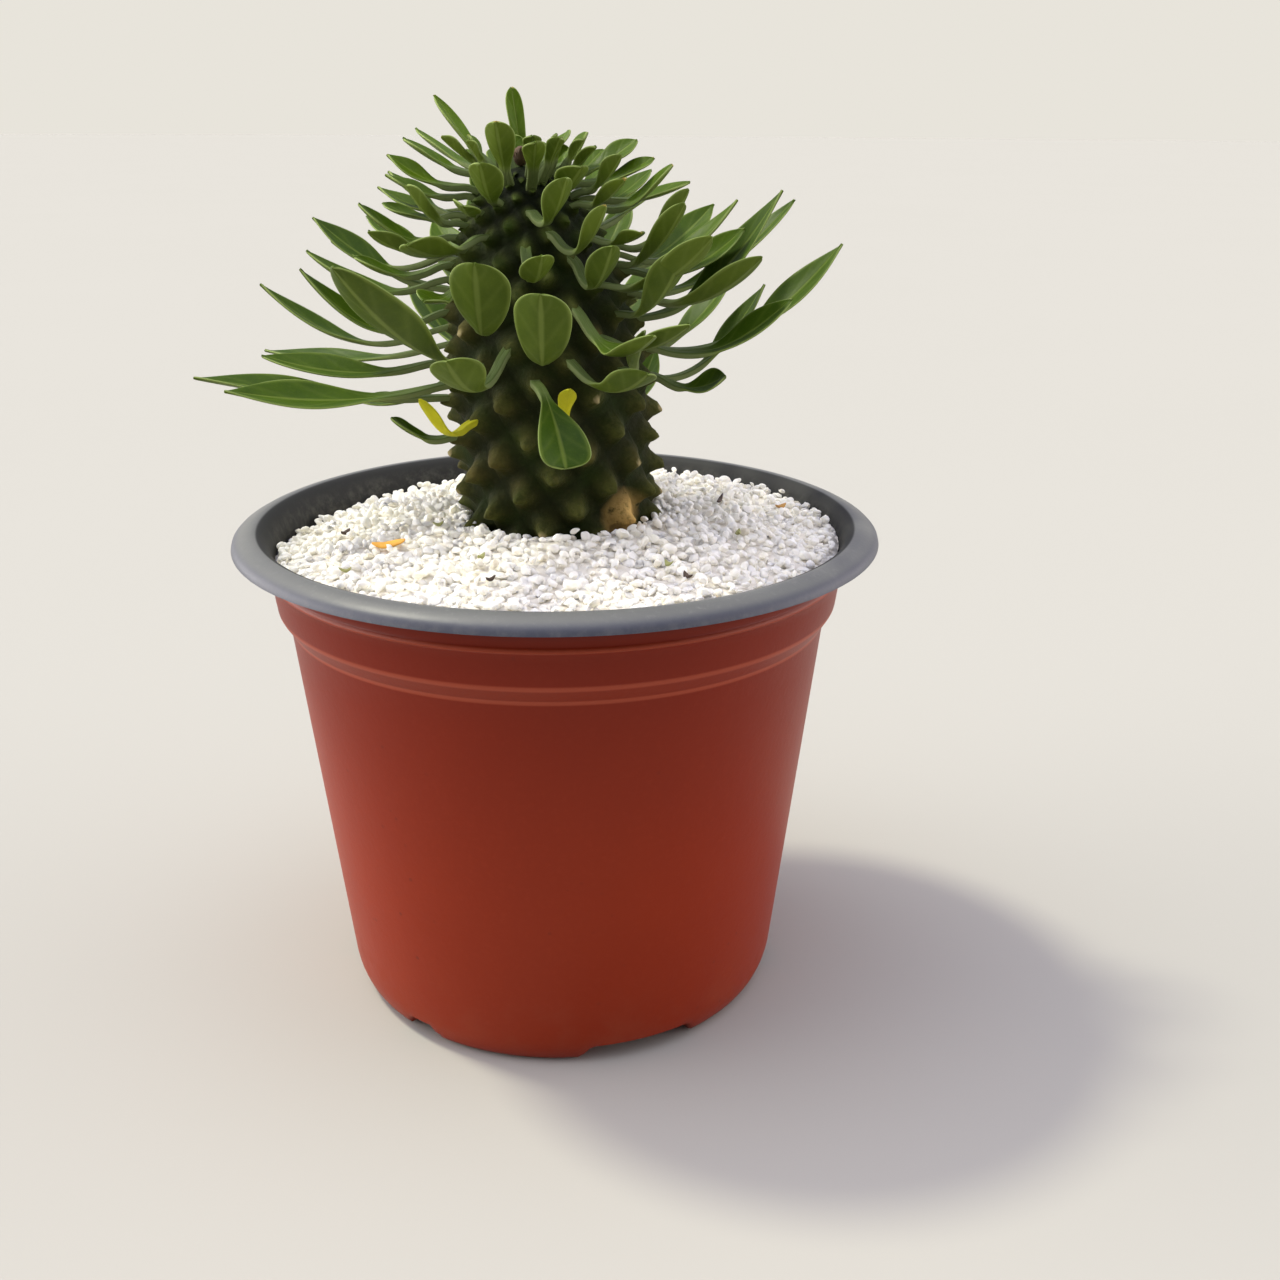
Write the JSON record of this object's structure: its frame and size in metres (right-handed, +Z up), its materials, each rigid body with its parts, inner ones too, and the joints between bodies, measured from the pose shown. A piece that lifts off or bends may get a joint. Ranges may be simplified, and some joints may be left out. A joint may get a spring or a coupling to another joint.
{
  "type": "potted euphorbia",
  "caption": "Young euphorbia with a tubercled column stem and a crown of spoon-shaped leaves, in a thin round nursery pot dressed with white grit.",
  "frame": {"origin": "on the pot's axis, in the plane that the pot's feet stand on", "axes": "+Z up along the pot's axis; -Y towards the front, which shows the widest leaf fan"},
  "size_m": [0.1219, 0.12, 0.1687],
  "materials": {
    "terracotta_plastic": "satin terracotta outside, grey inside and on the rolled lip",
    "potting_soil": "crumbly, matt",
    "white_grit": "small broken white stones, matt",
    "stem_skin": "dark green skin with pale tubercle tips",
    "dry_bud": "dry, papery brown",
    "green_leaf": "fleshy, satin, with a pale edge and midrib",
    "yellow_leaf": "yellowed, soft satin"
  },
  "bodies": {
    "root": {"pot": "terracotta_plastic", "soil": "potting_soil", "top_dressing": "white_grit", "stem": "stem_skin", "crown_bud": "dry_bud", "leaf_01": "green_leaf", "leaf_02": "yellow_leaf", "leaf_03": "yellow_leaf", "leaf_04": "green_leaf", "leaf_05": "green_leaf", "leaf_06": "green_leaf", "leaf_07": "green_leaf", "leaf_08": "green_leaf", "leaf_09": "green_leaf", "leaf_10": "green_leaf", "leaf_11": "green_leaf", "leaf_12": "green_leaf", "leaf_13": "green_leaf", "leaf_14": "green_leaf", "leaf_15": "green_leaf", "leaf_16": "green_leaf", "leaf_17": "green_leaf", "leaf_18": "green_leaf", "leaf_19": "green_leaf", "leaf_20": "green_leaf", "leaf_21": "green_leaf", "leaf_22": "green_leaf", "leaf_23": "green_leaf", "leaf_24": "green_leaf", "leaf_25": "green_leaf", "leaf_26": "green_leaf", "leaf_27": "green_leaf", "leaf_28": "green_leaf", "leaf_29": "green_leaf", "leaf_30": "green_leaf", "leaf_31": "green_leaf", "leaf_32": "green_leaf", "leaf_33": "green_leaf", "leaf_34": "green_leaf", "leaf_35": "green_leaf", "leaf_36": "green_leaf", "leaf_37": "green_leaf", "leaf_38": "green_leaf", "leaf_39": "green_leaf", "leaf_40": "green_leaf", "leaf_41": "green_leaf", "leaf_42": "green_leaf", "leaf_43": "green_leaf", "leaf_44": "green_leaf", "leaf_45": "green_leaf", "leaf_46": "green_leaf", "leaf_47": "green_leaf", "leaf_48": "green_leaf", "leaf_49": "green_leaf", "leaf_50": "green_leaf", "leaf_51": "green_leaf", "leaf_52": "green_leaf", "leaf_53": "green_leaf", "leaf_54": "green_leaf"}
  },
  "joints": []
}
